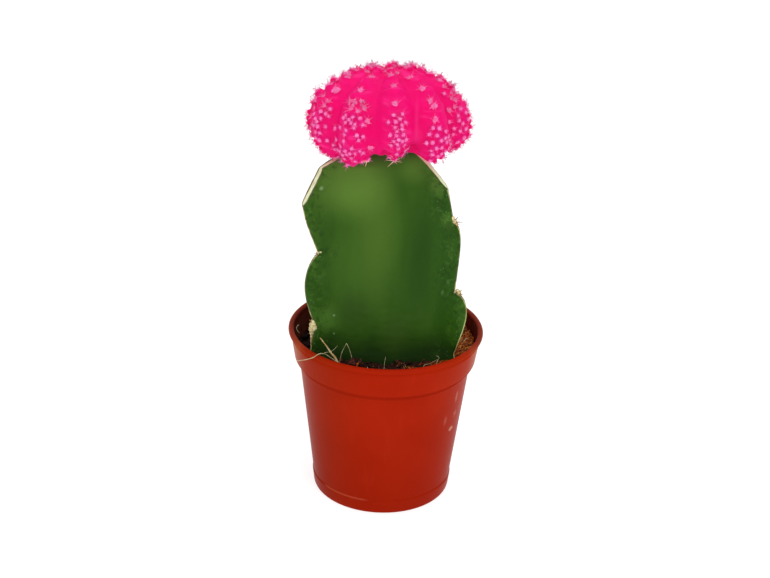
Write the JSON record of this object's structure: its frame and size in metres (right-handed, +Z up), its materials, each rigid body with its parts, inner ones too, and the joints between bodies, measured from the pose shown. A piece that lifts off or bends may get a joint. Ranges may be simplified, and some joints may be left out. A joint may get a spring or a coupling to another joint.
{
  "type": "potted moon cactus",
  "caption": "Pink ribbed moon cactus scion grafted on a green winged rootstock, planted in peat and coir in a small round terracotta-coloured plastic nursery pot.",
  "frame": {"origin": "middle of the ring that the pot stands on, at the height of the ground", "axes": "+Z up along the pot's axis; -Y out of the plant's front, which is the broad face of the rootstock between its left and right wings; +X to the right as seen from the front"},
  "size_m": [0.055, 0.055, 0.127],
  "materials": {
    "terracotta_plastic": "smooth moulded plastic with a soft gloss",
    "peat_and_coir": "matt, crumbly",
    "coir": "matt dry plant fibre",
    "stock_skin": "satin living skin",
    "scion_skin": "satin living skin"
  },
  "bodies": {
    "root": {"pot": "terracotta_plastic", "potting_soil": "peat_and_coir", "coir_fibre": "coir", "rootstock": "stock_skin", "scion": "scion_skin"}
  },
  "joints": []
}
